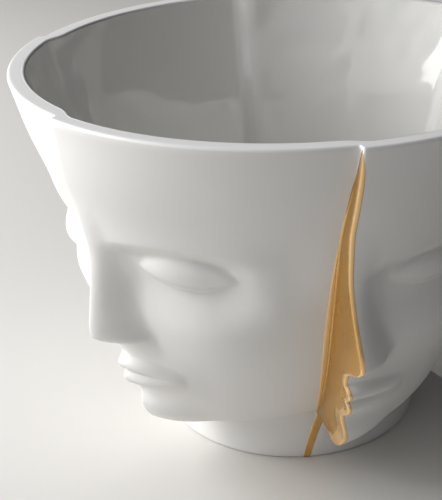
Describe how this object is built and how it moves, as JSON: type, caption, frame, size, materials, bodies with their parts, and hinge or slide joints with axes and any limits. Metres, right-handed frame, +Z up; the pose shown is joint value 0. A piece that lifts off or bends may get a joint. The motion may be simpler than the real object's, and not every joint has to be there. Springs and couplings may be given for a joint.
{
  "type": "decorative footed bowl",
  "caption": "Footed porcelain bowl with a wall of overlapping half faces in relief, one joint between them lined in gold down to the foot.",
  "frame": {"origin": "centre of the foot's underside, on the table", "axes": "+Z up along the bowl's axis; -Y faces the viewer, and the gold joint is 12 degrees from -Y towards +X"},
  "size_m": [0.2204, 0.2176, 0.154],
  "materials": {
    "porcelain": "satin",
    "gold": "satin"
  },
  "bodies": {
    "root": {"bowl": "porcelain", "gold_seam": "gold"}
  },
  "joints": []
}
